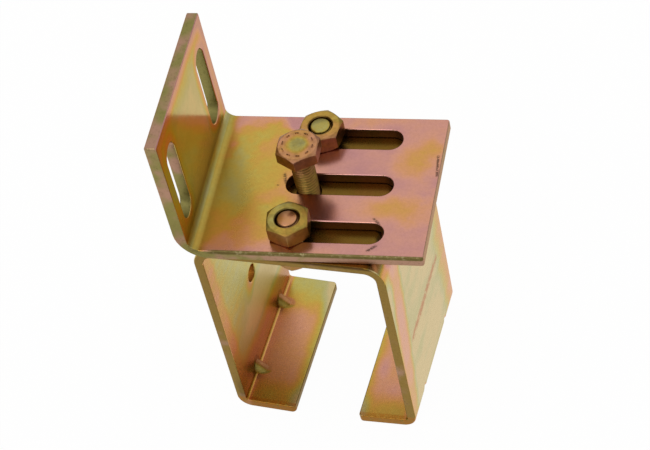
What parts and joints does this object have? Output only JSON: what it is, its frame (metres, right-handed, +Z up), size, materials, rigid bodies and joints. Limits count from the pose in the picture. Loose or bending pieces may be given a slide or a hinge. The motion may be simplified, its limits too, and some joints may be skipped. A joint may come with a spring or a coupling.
{
  "type": "adjustable wall bracket for a track",
  "caption": "Folded steel angle bracket with slotted wall flange and slotted shelf, carrying a folded track sleeve that is bolted below and has an upright clamp bolt.",
  "frame": {"origin": "on the face that meets the wall, midway between the two wall slots", "axes": "+X leaves the wall, +Y runs along the track, +Z is up"},
  "size_m": [0.102, 0.0793, 0.1742],
  "materials": {
    "angle_bracket": "glossy yellow zinc plate",
    "track_sleeve": "glossy yellow zinc plate",
    "front_bolt": "yellow zinc plate",
    "front_nut": "yellow zinc plate",
    "rear_bolt": "yellow zinc plate",
    "rear_nut": "yellow zinc plate",
    "clamp_bolt": "yellow zinc plate"
  },
  "bodies": {
    "plate": {"angle_bracket": "angle_bracket"},
    "sleeve": {"track_sleeve": "track_sleeve", "front_bolt": "front_bolt", "front_nut": "front_nut", "rear_bolt": "rear_bolt", "rear_nut": "rear_nut"},
    "clamp": {"clamp_bolt": "clamp_bolt"}
  },
  "joints": [
    {"name": "sleeve_slide", "type": "slide", "parent": "plate", "child": "sleeve", "axis": [1, 0, 0], "range_m": [-0.0017, 0.0292]},
    {"name": "clamp_screw", "type": "slide", "parent": "sleeve", "child": "clamp", "axis": [0, 0, 1], "range_m": [-0.0173, 0.003]}
  ]
}
